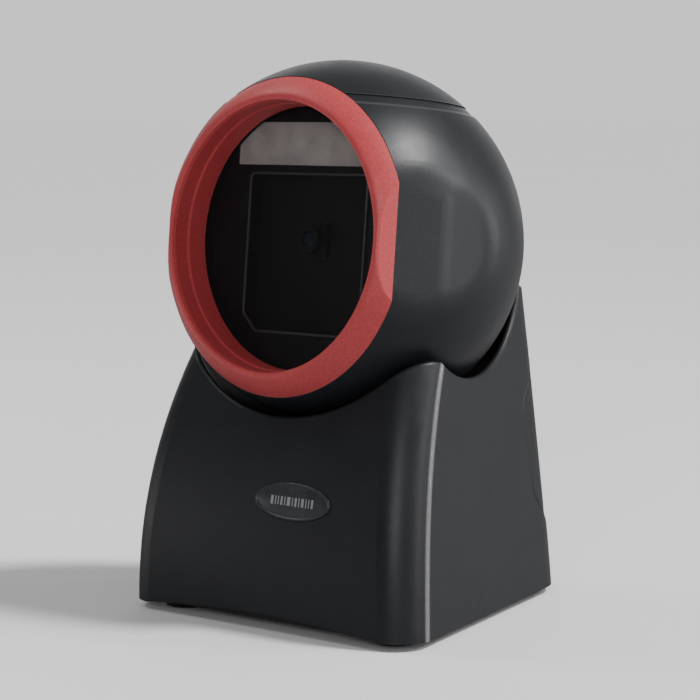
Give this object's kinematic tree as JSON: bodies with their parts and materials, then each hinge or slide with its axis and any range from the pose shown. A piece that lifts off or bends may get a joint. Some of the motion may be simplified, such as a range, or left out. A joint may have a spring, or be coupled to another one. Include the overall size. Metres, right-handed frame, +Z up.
{
  "type": "barcode scanner",
  "caption": "Hands-free desktop barcode scanner: a ball-shaped head with a round scan window in a red bezel, tilting in the socket of a weighted black base.",
  "frame": {"origin": "middle of the footprint's bounding box, on the surface the feet stand on", "axes": "+Z up; the scan window faces -Y; +X is to the right of a person looking at the window"},
  "size_m": [0.1005, 0.1025, 0.15],
  "materials": {
    "shell_black": "finely textured black ABS, satin",
    "bezel_red": "satin red ABS",
    "window_glass": "clear polished window",
    "inner_black": "matt black moulding",
    "diffuser_frost": "frosted translucent bar",
    "board_green": "green solder mask on glass-epoxy board",
    "chip_black": "moulded epoxy",
    "steel": "zinc-plated steel",
    "brass": "turned brass",
    "contact_gold": "gold-plated spring contacts",
    "die_cast": "black-coated metal casting",
    "foot_rubber": "soft black rubber",
    "friction_fibre": "acetal friction disc",
    "plug_plastic": "black nylon connector",
    "cable_black": "soft vinyl cable jacket",
    "ribbon_white": "flat flexible ribbon",
    "led_lens": "clear epoxy dome",
    "lens_glass": "coated lens",
    "badge_grey": "satin grey oval plate, blank"
  },
  "bodies": {
    "base": {"base_shell": "shell_black", "rear_cover": "shell_black", "socket_bowl": "inner_black", "bottom_plate": "inner_black", "interface_board": "board_green", "beeper": "chip_black", "base_screws": "steel", "post_screws": "steel", "interface_screws": "steel", "ballast_plate": "steel", "socket_contacts": "contact_gold", "pivot_post": "die_cast", "rubber_feet": "foot_rubber", "cable_socket": "plug_plastic", "board_header": "plug_plastic", "neck_cable": "cable_black", "front_badge": "badge_grey"},
    "head": {"head_front_shell": "shell_black", "head_rear_shell": "shell_black", "top_cap": "shell_black", "bezel_ring": "bezel_red", "scan_window": "window_glass", "window_gasket": "foot_rubber", "optics_chassis": "inner_black", "chassis_screws": "steel", "led_diffuser": "diffuser_frost", "led_board": "board_green", "illumination_leds": "led_lens", "imager_board": "board_green", "image_sensor": "chip_black", "lens_holder": "inner_black", "imaging_lens": "lens_glass", "pivot_carrier": "die_cast", "carrier_screws": "steel", "shell_screws": "steel", "pivot_shaft": "steel", "friction_washers": "friction_fibre", "spring_washer": "steel", "shaft_nut": "steel", "decoder_board": "board_green", "decoder_chips": "chip_black", "board_standoffs": "brass", "board_screws": "steel", "board_plug": "plug_plastic", "flex_ribbons": "ribbon_white"}
  },
  "joints": [
    {"name": "head_tilt", "type": "hinge", "parent": "base", "child": "head", "pos_m": [0, -0.01725, 0.101], "axis": [-1, 0, 0], "range_deg": [-10, 20]}
  ]
}
